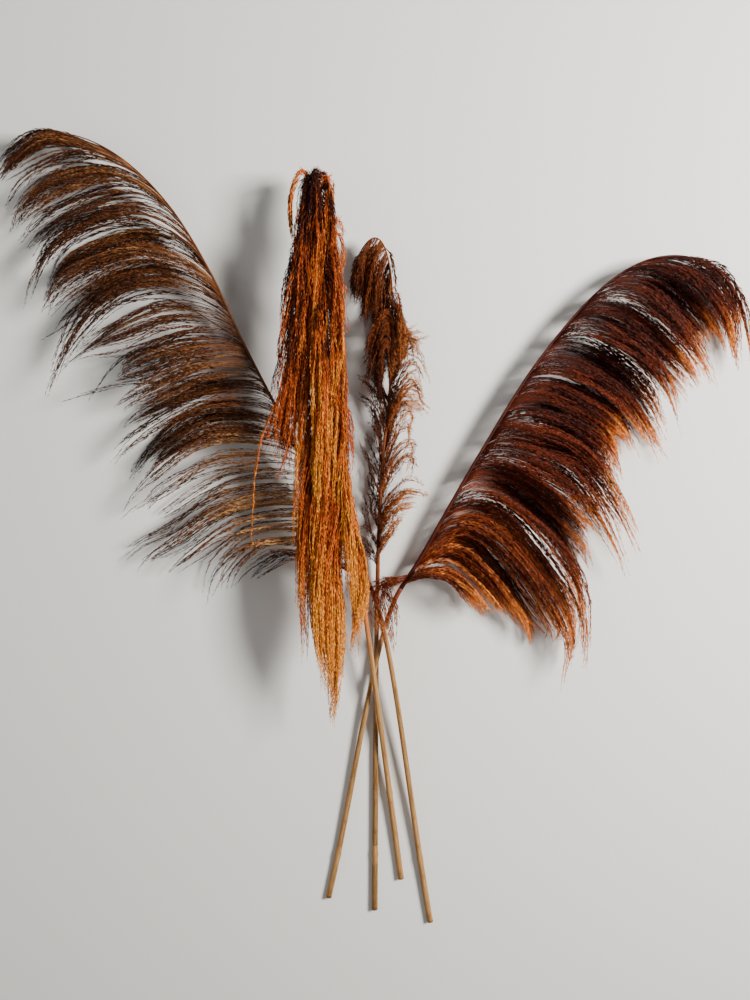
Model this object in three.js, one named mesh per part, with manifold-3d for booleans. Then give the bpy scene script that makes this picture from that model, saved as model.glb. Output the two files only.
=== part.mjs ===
// A bundle of four cut pampas grass stems, fanned out and lying on a flat surface.
// Millimetres, +Z up from the surface, +Y towards the plumes, +X to the right seen from above.
// GATHER is the place where the four stems cross closest; all the points below are measured
// from it, along the surface and up from it.
import * as THREE from 'three';
import { mergeVertices } from 'three/addons/utils/BufferGeometryUtils.js';
import Module from 'manifold-3d';

const wasm = await Module();
wasm.setup();

// ---- Driving dimensions ---------------------------------------------------------------------

const STEM_BUTT_RADIUS = 4.6;
const STEM_TOP_RADIUS = 3.4;
const STEM_SIDES = 8;
const STEM_RINGS = 12;
const STEM_NODE_SWELL = 0.8;
const STEM_NODE_LENGTH = 12;
const JOINT_GAP = 0.3;

// How far a stem keeps its direction from the butt and from the plume, as shares of its length.
const BUTT_REACH = 0.4;
const NECK_REACH = 0.15;

const RACHIS_BASE_RADIUS = 3.3;
const RACHIS_TIP_RADIUS = 1.5;
const RACHIS_SIDES = 6;
const RACHIS_RINGS = 32;

const STRAND_SIDES = 3;
const STRAND_RINGS = 5;
const STRAND_ROOT_RADIUS = 1.3;
const STRAND_SIZE_SPREAD = 0.2;

// The strands of a lock draw together at its tip, to this share of their spread, and their own
// tips stray from it by up to so much each way.
const TIP_DRAW = 0.35;
const TIP_SCATTER = [3, 7];

// Tips lie lower in the plume's thickness than the middles of their strands. A plume that nods
// comes down towards its top, over the rest of its length from this share on, and the bend of
// each strand comes down by this share of what the crest does.
const TIP_SAG = 0.75;
const NOD_START = 0.65;
const NOD_AT_BEND = 0.33;

// A step that spreads a row of strands evenly through the thickness of the plume.
const GOLDEN_STEP = 0.618034;

// How far the strand has filled out at each fifth of its length, from its root to its point.
const STRAND_FULLNESS = [0.0, 0.55, 0.85, 1.0, 0.7];

// Where the bundle's box has its bottom centre, measured from GATHER.
const BOX_CENTRE_X = -10.0;
const BOX_CENTRE_Y = 35.1;

const COLOURS = { stem: 0x9a7444, plume: 0xa5501c };
const ROUGHNESS = 0.85;

// The slab that everything is pressed flat against, and how close corners count as shared.
const SLAB_WIDTH = 3000;
const SLAB_DEPTH = 100;
const MERGE_REACH = 1e-4;

// ---- The four grasses -----------------------------------------------------------------------
// butt is the cut end of the stem, node the distance from there to its one swollen joint, and
// rachis the line of the plume's axis, whose first point is where the stem ends. A fall is a row
// of locks, one for each of its tips, that leave the rachis between the fractions from and to of
// its length, and pass the lines crest and bend on their way. floor and roof are the lowest and
// highest that they go, nest is 1 where the locks from higher up the rachis lie over those from
// lower down and 0 where they share the same thickness, nod is how far the crest comes down at
// the top, and radius is that of a full strand. A stray is a lone strand, which passes three
// places at its own height.

const GRASSES = [
  {
    name: 'left',
    seed: 11,
    butt: [75, -540],
    node: 105,
    rachis: [
      [-14, -15, 38], [-40, 46, 40], [-74, 107, 40], [-129, 212, 40], [-187, 326, 41],
      [-233, 427, 42], [-285, 513, 42], [-346, 575, 41], [-410, 607, 38], [-470, 608, 33],
    ],
    falls: [
      {
        from: 0.09, to: 0.91, strands: 2, floor: 3, roof: 76, nest: 0,
        nod: 0, radius: 4.6,
        crest: [
          [-117, 34], [-195, 103], [-220, 221], [-238, 298], [-313, 442], [-342, 536],
          [-441, 609],
        ],
        bend: [
          [-149, 25], [-290, 49], [-302, 184], [-309, 275], [-413, 406], [-447, 506],
          [-489, 592],
        ],
        tips: [
          [-180, -7], [-220, -13], [-254, -48], [-306, -10], [-346, 3], [-373, 28], [-327, 87],
          [-386, 61], [-325, 153], [-365, 135], [-380, 163], [-372, 207], [-365, 236],
          [-362, 283], [-441, 295], [-467, 252], [-463, 348], [-455, 403], [-482, 374],
          [-478, 418], [-499, 454], [-504, 470], [-517, 498], [-515, 539], [-521, 559],
        ],
      },
    ],
    strays: [
      { along: 0.41, height: 50, radius: 1.8, places: [[-259, 281], [-362, 275], [-445, 251]] },
      { along: 0.45, height: 50, radius: 1.8, places: [[-285, 330], [-361, 306], [-415, 234]] },
      { along: 0.49, height: 50, radius: 1.8, places: [[-297, 392], [-411, 360], [-464, 292]] },
      { along: 0.54, height: 50, radius: 1.8, places: [[-317, 414], [-408, 368], [-472, 332]] },
    ],
  },
  {
    name: 'right',
    seed: 27,
    butt: [-80, -500],
    node: 70,
    rachis: [
      [28, -15, 24], [57, 33, 30], [91, 97, 36], [141, 187, 40], [208, 298, 41], [282, 390, 42],
      [345, 438, 42], [405, 450, 40], [455, 432, 36], [485, 400, 30],
    ],
    falls: [
      {
        from: 0.04, to: 0.84, strands: 2, floor: 2.5, roof: 76, nest: 0,
        nod: 0, radius: 4.6,
        crest: [[80, 11], [158, 79], [190, 158], [229, 253], [283, 329], [352, 407], [446, 438]],
        bend: [
          [121, -17], [265, -61], [274, 100], [308, 211], [362, 275], [426, 352], [489, 386],
        ],
        tips: [
          [143, -56], [176, -53], [213, -104], [244, -92], [259, -168], [288, -62], [291, -135],
          [298, 11], [307, 55], [355, -17], [370, 25], [338, 128], [335, 153], [356, 177],
          [394, 142], [413, 148], [398, 209], [420, 188], [441, 257], [455, 266], [462, 277],
          [455, 332], [482, 320], [496, 284], [503, 309],
        ],
      },
    ],
    strays: [
      { along: 0.03, height: 52, radius: 2.2, places: [[2, -4], [7, -37], [23, -115]] },
      { along: 0.03, height: 52, radius: 2.2, places: [[-6, -7], [-8, -37], [6, -89]] },
      { along: 0.03, height: 52, radius: 2.2, places: [[10, -5], [19, -28], [23, -68]] },
    ],
  },
  {
    name: 'front',
    seed: 37,
    butt: [30, -470],
    node: 140,
    rachis: [
      [-28, -10, 54], [-36, 55, 72], [-42, 120, 84], [-58, 215, 88], [-71, 322, 84],
      [-81, 420, 70], [-88, 500, 56], [-93, 548, 46],
    ],
    falls: [
      {
        from: 0.68, to: 0.89, strands: 2, floor: 84, roof: 112, nest: 1,
        nod: 0, radius: 4,
        crest: [[-105, 322], [-106, 379], [-106, 461]],
        bend: [[-122, 230], [-132, 263], [-117, 398]],
        tips: [[-125, 143], [-142, 160], [-163, 179], [-133, 276], [-131, 332]],
      },
      {
        from: 0.37, to: 1.00, strands: 1, floor: 86, roof: 122, nest: 1,
        nod: 45, radius: 5,
        crest: [[-89, 154], [-93, 257], [-99, 430], [-99, 543]],
        bend: [[-106, 43], [-107, 164], [-104, 334], [-102, 461]],
        tips: [
          [-108, -118], [-111, -22], [-117, 51], [-109, 143], [-108, 230], [-107, 302],
          [-104, 361],
        ],
      },
      {
        from: 0.20, to: 1.00, strands: 2, floor: 90, roof: 130, nest: 1,
        nod: 50, radius: 4,
        crest: [[-61, 70], [-78, 117], [-78, 257], [-81, 386], [-88, 546]],
        bend: [[-63, -68], [-88, -12], [-81, 158], [-82, 289], [-87, 449]],
        tips: [
          [-71, -207], [-69, -144], [-80, -156], [-85, -18], [-86, 40], [-88, 122], [-85, 183],
          [-87, 269], [-89, 348],
        ],
      },
      {
        from: 0.13, to: 1.00, strands: 1, floor: 88, roof: 126, nest: 1,
        nod: 45, radius: 5,
        crest: [[-35, 40], [-43, 104], [-53, 191], [-58, 334], [-66, 449], [-77, 544]],
        bend: [[-30, -9], [-35, 36], [-52, 117], [-58, 250], [-59, 366], [-71, 474]],
        tips: [
          [-22, -60], [-41, -112], [-40, -53], [-51, -15], [-60, 20], [-64, 79], [-58, 147],
          [-59, 214], [-60, 276], [-62, 332], [-71, 394],
        ],
      },
    ],
    strays: [
      { along: 1.00, height: 78, radius: 2.6, places: [[-108, 553], [-121, 504], [-114, 456]] },
      { along: 0.95, height: 78, radius: 2.6, places: [[-72, 547], [-65, 523], [-68, 495]] },
      { along: 0.84, height: 78, radius: 2.6, places: [[-62, 490], [-55, 485], [-51, 471]] },
      { along: 0.83, height: 78, radius: 2.6, places: [[-60, 476], [-51, 449], [-55, 417]] },
      { along: 0.74, height: 78, radius: 2.6, places: [[-60, 387], [-54, 377], [-51, 351]] },
      { along: 0.49, height: 78, radius: 2.6, places: [[-48, 244], [-42, 220], [-35, 144]] },
      { along: 0.61, height: 96, radius: 2, places: [[-133, 262], [-166, 184], [-180, 38]] },
    ],
  },
  {
    name: 'back',
    seed: 53,
    butt: [-10, -520],
    node: 90,
    rachis: [
      [-6, -20, 12], [-4, 65, 19], [2, 175, 30], [10, 253, 33], [14, 352, 35], [13, 420, 36],
      [3, 463, 36], [-12, 474, 34], [-30, 455, 30], [-40, 420, 26],
    ],
    falls: [
      {
        from: 0.06, to: 0.47, strands: 2, floor: 6, roof: 50, nest: 0,
        nod: 0, radius: 2.4,
        crest: [[-17, 38], [-8, 114], [-6, 226], [-2, 279]],
        bend: [[-27, 52], [-13, 135], [-20, 252], [-10, 300]],
        tips: [[-39, 64], [-32, 135], [-18, 159], [-38, 216], [-46, 270], [-36, 290], [-22, 317]],
      },
      {
        from: 0.60, to: 0.69, strands: 2, floor: 10, roof: 62, nest: 0,
        nod: 0, radius: 3.4,
        crest: [[1, 320], [0, 371]],
        bend: [[-3, 284], [-13, 339]],
        tips: [[-6, 233], [-21, 270], [-24, 292]],
      },
      {
        from: 0.78, to: 0.94, strands: 2, floor: 9, roof: 66, nest: 0,
        nod: 0, radius: 4,
        crest: [[11, 390], [-6, 427], [-23, 443], [-34, 435]],
        bend: [[11, 329], [-8, 370], [-23, 403], [-36, 415]],
        tips: [[10, 265], [3, 285], [-11, 311], [-25, 344], [-26, 366], [-32, 385], [-37, 391]],
      },
      {
        from: 0.08, to: 0.74, strands: 2, floor: 6, roof: 60, nest: 0,
        nod: 0, radius: 3,
        crest: [[2, 50], [18, 127], [22, 226], [28, 270], [30, 330], [24, 368], [20, 390]],
        bend: [[13, 65], [43, 139], [40, 237], [47, 273], [47, 336], [31, 343], [25, 343]],
        tips: [
          [30, 77], [58, 104], [76, 108], [34, 142], [40, 190], [69, 232], [58, 239], [62, 274],
          [64, 337], [44, 303], [33, 292], [41, 348], [26, 287],
        ],
      },
    ],
    strays: [
      { along: 0.86, height: 34, radius: 1.4, places: [[12, 451], [17, 425], [19, 398]] },
    ],
  },
];

// ---- Helpers --------------------------------------------------------------------------------

/** A repeatable stream of numbers between 0 and 1. */
function seededRandom(seed) {
  const multiplier = 16807;
  const modulus = 2147483647;
  let state = seed;
  return () => {
    state = (state * multiplier) % modulus;
    return state / modulus;
  };
}

/** A centred random offset, up to reach either way. */
function offset(random, reach) {
  return (2 * random() - 1) * reach;
}

function vector([x, y, z = 0]) {
  return new THREE.Vector3(x, y, z);
}

/** A smooth line through points. */
function lineThrough(points) {
  return new THREE.CatmullRomCurve3(points.map(vector), false, 'catmullrom');
}

/** A closed mesh with shared vertices, as a solid that can be joined and cut. */
function toSolid(geometry) {
  geometry.deleteAttribute('normal');
  geometry.deleteAttribute('uv');
  const merged = mergeVertices(geometry, MERGE_REACH);
  return new wasm.Manifold(new wasm.Mesh({
    numProp: 3,
    vertProperties: new Float32Array(merged.attributes.position.array),
    triVerts: new Uint32Array(merged.index.array),
  }));
}

function toGeometry(solid) {
  const mesh = solid.getMesh();
  const geometry = new THREE.BufferGeometry();
  geometry.setAttribute('position', new THREE.BufferAttribute(mesh.vertProperties, 3));
  geometry.setIndex(new THREE.BufferAttribute(mesh.triVerts, 1));
  geometry.computeVertexNormals();
  return geometry;
}

/**
 * Bends a unit cylinder or cone, which stands along its own Y from -0.5 to 0.5, so that it
 * follows a curve. radiusAt gives the radius at each fraction of the length.
 */
function bendAlong(geometry, curve, rings, radiusAt) {
  const frames = curve.computeFrenetFrames(rings, false);
  const position = geometry.attributes.position;
  for (let i = 0; i < position.count; i += 1) {
    const t = Math.min(Math.max(position.getY(i) + 0.5, 0), 1);
    const ring = Math.round(t * rings);
    const x = position.getX(i);
    const z = position.getZ(i);
    const reach = Math.hypot(x, z);
    const scale = reach > 1e-6 ? radiusAt(t) / reach : 0;
    const point = curve.getPointAt(t);
    point.addScaledVector(frames.normals[ring], x * scale);
    point.addScaledVector(frames.binormals[ring], -z * scale);
    position.setXYZ(i, point.x, point.y, point.z);
  }
  return geometry;
}

// ---- Stems ----------------------------------------------------------------------------------

/** Half the width across the flats of a stem with the given radius at its corners. */
function flatRadius(radius) {
  return radius * Math.cos(Math.PI / STEM_SIDES);
}

/** A stem's line, from its cut butt on the surface up to the foot of its plume. */
function stemCurve(grass) {
  const top = vector(grass.rachis[0]);
  const heading = vector(grass.rachis[1]).sub(top).normalize();
  const end = top.clone().addScaledVector(heading, -JOINT_GAP);
  const butt = vector([...grass.butt, flatRadius(STEM_BUTT_RADIUS)]);
  const length = butt.distanceTo(end);
  const along = end.clone().sub(butt).setZ(0).normalize();
  return new THREE.CubicBezierCurve3(
    butt,
    butt.clone().addScaledVector(along, length * BUTT_REACH),
    end.clone().addScaledVector(heading, -length * NECK_REACH),
    end,
  );
}

/** The swollen joint of a stem, its two ends sunk in the stem. */
function nodeSolid(curve, distance) {
  const middle = distance / curve.getLength();
  const half = STEM_NODE_LENGTH / 2 / curve.getLength();
  const span = new THREE.LineCurve3(curve.getPointAt(middle - half), curve.getPointAt(middle + half));
  const swell = [-STEM_NODE_SWELL / 2, STEM_NODE_SWELL, -STEM_NODE_SWELL / 2];
  const rings = swell.length - 1;
  const cylinder = new THREE.CylinderGeometry(1, 1, 1, STEM_SIDES, rings);
  const radius = THREE.MathUtils.lerp(STEM_BUTT_RADIUS, STEM_TOP_RADIUS, middle);
  return toSolid(bendAlong(cylinder, span, rings, (t) => radius + swell[Math.round(t * rings)]));
}

function stemGeometry(grass) {
  const curve = stemCurve(grass);
  const cylinder = new THREE.CylinderGeometry(1, 1, 1, STEM_SIDES, STEM_RINGS);
  const radiusAt = (t) => THREE.MathUtils.lerp(STEM_BUTT_RADIUS, STEM_TOP_RADIUS, t);
  const culm = toSolid(bendAlong(cylinder, curve, STEM_RINGS, radiusAt));
  return toGeometry(culm.add(nodeSolid(curve, grass.node)).subtract(belowSurface()));
}

// ---- Plumes ---------------------------------------------------------------------------------

function rachisSolid(curve) {
  const cylinder = new THREE.CylinderGeometry(1, 1, 1, RACHIS_SIDES, RACHIS_RINGS);
  const radiusAt = (t) => THREE.MathUtils.lerp(RACHIS_BASE_RADIUS, RACHIS_TIP_RADIUS, t);
  return toSolid(bendAlong(cylinder, curve, RACHIS_RINGS, radiusAt));
}

/** A strand's radius at a fraction t of its length, for the given radius where it is full. */
function strandRadius(t, fullRadius) {
  if (t >= 1) {
    return 0;
  }
  const fullness = STRAND_FULLNESS[Math.round(t * STRAND_RINGS)];
  return THREE.MathUtils.lerp(STRAND_ROOT_RADIUS, fullRadius, fullness);
}

/** The solid of a strand along a line, sunk in the rachis at its root. */
function strandSolid(points, radius) {
  const curve = new THREE.CatmullRomCurve3(points, false, 'catmullrom');
  const cone = new THREE.ConeGeometry(1, 1, STRAND_SIDES, STRAND_RINGS);
  return toSolid(bendAlong(cone, curve, STRAND_RINGS, (t) => strandRadius(t, radius)));
}

/** All the strands of one fall of locks, as solids. */
function fallSolids(rachis, fall, random) {
  const locks = fall.tips.length;
  const lines = [fall.crest, fall.bend, fall.tips].map(lineThrough);
  const solids = [];
  for (let lock = 0; lock < locks; lock += 1) {
    for (let i = 0; i < fall.strands; i += 1) {
      const rank = (i + 0.5) / fall.strands - 0.5;
      const at = THREE.MathUtils.clamp((lock + rank) / (locks - 1), 0, 1);
      const atTip = THREE.MathUtils.clamp((lock + rank * TIP_DRAW) / (locks - 1), 0, 1);
      const mixed = (solids.length * GOLDEN_STEP) % 1;
      const layer = THREE.MathUtils.lerp(mixed, at, fall.nest);
      const middle = THREE.MathUtils.lerp(fall.floor, fall.roof, layer);
      const end = THREE.MathUtils.lerp(fall.floor, fall.roof, TIP_SAG * layer);
      const root = rachis.getPointAt(THREE.MathUtils.lerp(fall.from, fall.to, at));
      const nod = fall.nod * THREE.MathUtils.smoothstep(at, NOD_START, 1);
      const crest = lines[0].getPoint(at).setZ(middle - nod);
      const bend = lines[1].getPoint(at).setZ((middle + end) / 2 - nod * NOD_AT_BEND);
      const scatter = vector(TIP_SCATTER.map((reach) => offset(random, reach)));
      const tip = lines[2].getPoint(atTip).setZ(end).add(scatter);
      const radius = fall.radius * (1 + offset(random, STRAND_SIZE_SPREAD));
      solids.push(strandSolid([root, crest, bend, tip], radius));
    }
  }
  return solids;
}

/** A lone strand, as a solid. */
function straySolid(rachis, stray) {
  const places = stray.places.map((place) => vector(place).setZ(stray.height));
  return strandSolid([rachis.getPointAt(stray.along), ...places], stray.radius);
}

/** The surface's side of everything, which the lowest locks are pressed flat against. */
function belowSurface() {
  const slab = new THREE.BoxGeometry(SLAB_WIDTH, SLAB_WIDTH, SLAB_DEPTH);
  slab.translate(0, 0, -SLAB_DEPTH / 2);
  return toSolid(slab);
}

function plumeGeometry(grass) {
  const random = seededRandom(grass.seed);
  const rachis = lineThrough(grass.rachis);
  const pieces = [rachisSolid(rachis)];
  for (const fall of grass.falls) {
    pieces.push(...fallSolids(rachis, fall, random));
  }
  pieces.push(...grass.strays.map((stray) => straySolid(rachis, stray)));
  const joined = wasm.Manifold.union(pieces);
  return toGeometry(joined.subtract(belowSurface()));
}

// ---- The bundle -----------------------------------------------------------------------------

function material(colour) {
  return new THREE.MeshStandardMaterial({ color: colour, roughness: ROUGHNESS, metalness: 0 });
}

const bundle = new THREE.Group();

for (const grass of GRASSES) {
  const stem = new THREE.Mesh(stemGeometry(grass), material(COLOURS.stem));
  stem.name = `stem_${grass.name}`;
  const plume = new THREE.Mesh(plumeGeometry(grass), material(COLOURS.plume));
  plume.name = `plume_${grass.name}`;
  bundle.add(stem, plume);
}

bundle.position.set(-BOX_CENTRE_X, -BOX_CENTRE_Y, 0);

export default bundle;
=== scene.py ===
"""A loose bunch of four dyed pampas grasses, lying on a pale floor and seen from above.

Everything is in metres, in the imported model's frame. Each plume is grown again along the line of
its solid: a rachis, the fine branches that leave it, arch over and hang together in locks, and
the spikelets that sit along them. The stems are round, ribbed culms with a flat cut end.
"""

import math
from types import SimpleNamespace

import bpy
import numpy as np
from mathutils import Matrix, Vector


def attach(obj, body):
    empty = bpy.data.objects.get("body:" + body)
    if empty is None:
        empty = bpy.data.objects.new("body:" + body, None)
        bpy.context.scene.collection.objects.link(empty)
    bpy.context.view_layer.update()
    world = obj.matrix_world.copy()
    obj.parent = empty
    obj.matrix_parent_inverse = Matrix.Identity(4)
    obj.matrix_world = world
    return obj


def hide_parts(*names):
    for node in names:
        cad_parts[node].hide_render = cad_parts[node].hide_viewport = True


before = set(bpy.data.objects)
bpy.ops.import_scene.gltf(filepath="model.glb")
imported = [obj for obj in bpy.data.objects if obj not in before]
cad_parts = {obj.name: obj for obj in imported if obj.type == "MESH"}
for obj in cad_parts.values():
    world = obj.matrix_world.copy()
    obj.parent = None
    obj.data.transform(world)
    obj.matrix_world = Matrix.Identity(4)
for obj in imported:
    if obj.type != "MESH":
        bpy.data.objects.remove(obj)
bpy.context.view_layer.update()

# ---- The camera ------------------------------------------
# It looks down on the bunch as a standing eye would see it upright: nearly square on.

CAMERA_PLACE = (0.0006, 0.2729, 1.430)
CAMERA_TILT = math.radians(-7.9)
CAMERA_LENS_MM = 36.0
CAMERA_SENSOR_MM = 36.0

# ---- Driving sizes ---------------------------------------
# The lines of the grasses are measured from the place where the four stems cross closest. The
# frame's origin lies at BOX_CENTRE from there.

BOX_CENTRE = np.array([-0.0100, 0.0351, 0.0])

# A culm has one swollen node, with a scar on it that lies above its middle by a share of the
# node's length.
STEM_BUTT_RADIUS = 0.0046
STEM_TOP_RADIUS = 0.0034
STEM_SIDES = 24
STEM_RINGS = 96
STEM_LINE_KNOTS = 24
STEM_NODE_SWELL = 0.0008
STEM_NODE_LENGTH = 0.012
STEM_SWELL_SHARPNESS = 8
STEM_SCAR_DEPTH = 0.00035
STEM_SCAR_PLACE = 0.25
STEM_SCAR_SHARPNESS = 600

# How far a stem keeps its direction from the butt and from the plume, and how far along it its
# second skin lies, as shares of its length.
BUTT_REACH = 0.4
NECK_REACH = 0.15
SKIN_STEP = 0.0022

# A rachis swells by a share of its radius, twice for each of its locks.
RACHIS_BASE_RADIUS = 0.0033
RACHIS_TIP_RADIUS = 0.0006
RACHIS_TAPER = 0.8
RACHIS_SIDES = 10
RACHIS_RINGS = 140
RACHIS_SWELL = 0.08
RACHIS_SWELL_SHARPNESS = 8

# The strands of a lock draw together at its tip, to this share of their spread, and their own
# tips stray from it by up to so much each way. Tips lie lower than middles. A plume that nods
# comes down towards its top, over the rest of its length from NOD_START on, and its bends by a
# share of what its crest does. RUFFLE is how far branches stray in height, as a share of how far
# they stray sideways.
TIP_DRAW = 0.35
TIP_SCATTER = (0.003, 0.007)
TIP_SAG = 0.75
NOD_START = 0.65
NOD_AT_BEND = 0.33
RUFFLE = 0.6

# A strand is made of wisps, and a wisp of a few fine branches that stray together, but for a
# share, WISP_LOOSENESS. Strands overlap, and have more or fewer branches than their fall says.
# BUNDLE_FULLNESS pairs shares of a branch's length with how wide its bundle is there. The spreads
# are shares of the plume's thickness and of the rachis, either way. A shortfall is the most that
# a strand, wisp, stray or branch ends short of its line, and few branches come close to theirs.
# A line is sampled SAMPLES_A_RING times for each ring, before its rings are spaced evenly, and
# comes no lower than FLOOR_CLEAR.
FIBRE_SIDES = 3
FIBRE_RINGS = 13
FIBRE_ROOT_RADIUS = 0.00027
FIBRE_TIP_RADIUS = 0.00017
WISP_BRANCHES = 3
WISP_LOOSENESS = 0.15
STRAND_OVERLAP = 1.7
STRAND_FULLNESS = (0.45, 1.55)
BUNDLE_FULLNESS = ((0.0, 0.25, 0.6, 0.85, 1.0), (0.0, 0.6, 1.0, 0.8, 0.4))
LAYER_SPREAD = 0.16
ROOT_SPREAD = 0.012
ROOT_MARGIN = 0.002
STRAND_SHORTFALL = 0.05
WISP_SHORTFALL = 0.32
STRAY_SHORTFALL = 0.10
BRANCH_SHORTFALL = 0.12
SHORTFALL_RARITY = 1.6
SAMPLES_A_RING = 3
FLOOR_CLEAR = 0.0007

# The colour changes near the foot of the rachis, as painted sunlight on a plume's lower part, and
# towards its top, as painted shade where it darkens, between these shares of its length, and at
# the foot the branches are less bare by a share. STRAND_CHANCE is how much of the chance in a
# branch's colour is the whole strand's, and SPIKELET_CHANCE how much is a spikelet's.
FOOT_REACH = (0.05, 0.45)
TOP_REACH = (0.6, 1.0)
FOOT_FEATHERING = 0.65
STRAND_CHANCE = 0.3
SPIKELET_CHANCE = 0.2

# Spikelets stand round a branch by the golden turn, give or take, and are smaller at its tip.
# Those of a plume are parted into pieces of at most SPIKELETS_A_PIECE.
GOLDEN_TURN = math.radians(137.5)
TURN_SCATTER = 0.6
SPIKELET_SIZES = (0.75, 1.2)
SPIKELET_TAPER = 0.4
SPIKELET_TAPER_SHARPNESS = 4
SPIKELET_WIDEST = 0.34
SPIKELETS_A_PIECE = 45000

# A noise's scale is per metre on the plumes. On the culms it is per radius across and per metre
# along, times the stretch. Dyes blend, ribs and stains darken, between two values. A roughness
# is its spread and its least. A culm is dyed more and more from a share of its length on.
BLOTCH_SCALE = 60.0
FLECK_SCALE = 900.0
MOTTLING = 0.5
DEEP_TO_BODY = (0.0, 0.5)
BODY_TO_BRIGHT = (0.45, 1.0)
PLUME_ROUGHNESS = (0.3, 0.45)
RIB_SCALE = 7.0
RIB_STRETCH = (1.0, 1.0, 3.0)
STAIN_SCALE = 1.5
STAIN_STRETCH = (0.5, 0.5, 30.0)
NOISE_ROUGHNESS = 0.6
RIBS_DARKEN = (0.35, 0.65)
STAINS_DARKEN = (0.5, 0.75)
CULM_ROUGHNESS = (0.25, 0.42)
PALE_STRAW = "#b98d55"
DARK_STRAW = "#7d5429"
DYED_FROM = 0.75
FLOOR_GREY = "#dadad8"
BUMP_DISTANCE = 0.0004
SOFT_WHITE = (1.0, 0.98, 0.95)
WARM_WHITE = (1.0, 0.96, 0.90)

# ---- The four grasses ------------------------------------
# The same lines and rules as in the part. seed starts a grass's draws, butt is the cut end of its
# stem, node the distance from there to its swollen joint, and rachis the line of its axis.
#
# A fall is a row of locks, one for each of its tips, that leave the rachis between the shares
# start and stop of its length, and pass the lines crest and bend on their way. A lock has so many
# strands, between the heights floor and roof. nest is 1 where the locks from higher up the rachis
# lie over those from lower down and 0 where they share the same thickness, and nod is how far the
# crest comes down at the top. lean turns branches along the rachis where they leave it, and droop
# turns their tips down the plume. A strand has so many branches, times the density at its place
# along the fall, in a bundle that wide. A stray is a lone strand that leaves the rachis at along
# and passes three places, and stray holds what a plume's strays have in common.
#
# warmth says how light the colour is: at roots, at tips, what each gains at the foot of the
# rachis, and what both gain at its top. It is partly the dye's own and partly painted light: a
# dark root paints the shade deep inside a plume and a light tip the sun on it, the gains at the
# foot paint the sunlight on a plume's lower part, and a loss at the top paints the shade over its
# upper part.
# axis_warmth is the rachis's own, chance_spread how far chance moves it, and paling the shares of
# a branch between which the root's gives way to the tip's. dyes go from deep to bright, and are
# partly a plume's own dye and partly painted light: brighter for a plume that stood in sun, darker
# for one in shade.
#
# scatter is how far branches stray at the crest, the bend and the tip, bare the least and most of
# a branch without spikelets, and wave the height of its waves. spikelet is a spikelet's length,
# spacing that to the next, opening its angle off the branch in degrees, and plump the least and
# most of its radius, as shares of its length.

PLAIN_FALL = dict(nest=0, lean=0, droop=0, nod=0, density=(1, 1), shortfall=WISP_SHORTFALL)
PLAIN_STRAY = dict(lean=0, droop=0, shortfall=STRAY_SHORTFALL)
LONG_PLUME = dict(
    bare=(0.26, 0.48), wave=0.0008, wavelength=0.08,
    spikelet=0.0108, spacing=0.0041, opening=(3, 11), plump=(0.06, 0.085),
)

LEFT = dict(
    name="left",
    seed=11,
    butt=(0.075, -0.540),
    node=0.105,
    rachis=[(-0.014, -0.015, 0.038), (-0.040, 0.046, 0.040), (-0.074, 0.107, 0.040),
            (-0.129, 0.212, 0.040), (-0.187, 0.326, 0.041), (-0.233, 0.427, 0.042),
            (-0.285, 0.513, 0.042), (-0.346, 0.575, 0.041), (-0.410, 0.607, 0.038),
            (-0.470, 0.608, 0.033)],
    # The gain at the foot paints the sunlight on this plume's lower part.
    falls=[dict(
        start=0.01, stop=0.84, strands=2, floor=0.003, roof=0.076,
        lean=0.65, droop=0.5, branches=39, bundle=0.001,
        warmth=(0.37, 0.2, 0.42, -0.12, 0),
        density=(0.32, 0.36, 0.42, 0.75, 1.15, 0.85, 0.7, 0.95),
        crest=[(-0.117, 0.034), (-0.195, 0.103), (-0.220, 0.221), (-0.238, 0.298), (-0.313, 0.442),
               (-0.342, 0.536), (-0.441, 0.609)],
        bend=[(-0.149, 0.025), (-0.290, 0.049), (-0.302, 0.184), (-0.309, 0.275), (-0.413, 0.406),
              (-0.447, 0.506), (-0.489, 0.592)],
        tips=[(-0.180, -0.007), (-0.220, -0.013), (-0.254, -0.048), (-0.306, -0.010),
              (-0.346, 0.003), (-0.373, 0.028), (-0.327, 0.087), (-0.386, 0.061), (-0.325, 0.153),
              (-0.365, 0.135), (-0.380, 0.163), (-0.372, 0.207), (-0.365, 0.236), (-0.362, 0.283),
              (-0.441, 0.295), (-0.467, 0.252), (-0.463, 0.348), (-0.455, 0.403), (-0.482, 0.374),
              (-0.478, 0.418), (-0.499, 0.454), (-0.504, 0.470), (-0.517, 0.498), (-0.515, 0.539),
              (-0.521, 0.559)],
    )],
    stray=dict(height=0.050, branches=3, bundle=0.0008, warmth=(0.3, 0.1, 0.1, 0, 0)),
    strays=[
        dict(along=0.41, places=[(-0.259, 0.281), (-0.362, 0.275), (-0.445, 0.251)]),
        dict(along=0.45, places=[(-0.285, 0.330), (-0.361, 0.306), (-0.415, 0.234)]),
        dict(along=0.49, places=[(-0.297, 0.392), (-0.411, 0.360), (-0.464, 0.292)]),
        dict(along=0.54, places=[(-0.317, 0.414), (-0.408, 0.368), (-0.472, 0.332)]),
    ],
    axis_warmth=0.3, chance_spread=0.9, paling=(0.25, 0.95),
    scatter=(0.006, 0.009, 0.006),
    **LONG_PLUME,
    dyes=("#2a0e03", "#6c3b1b", "#dea468"),
)

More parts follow.
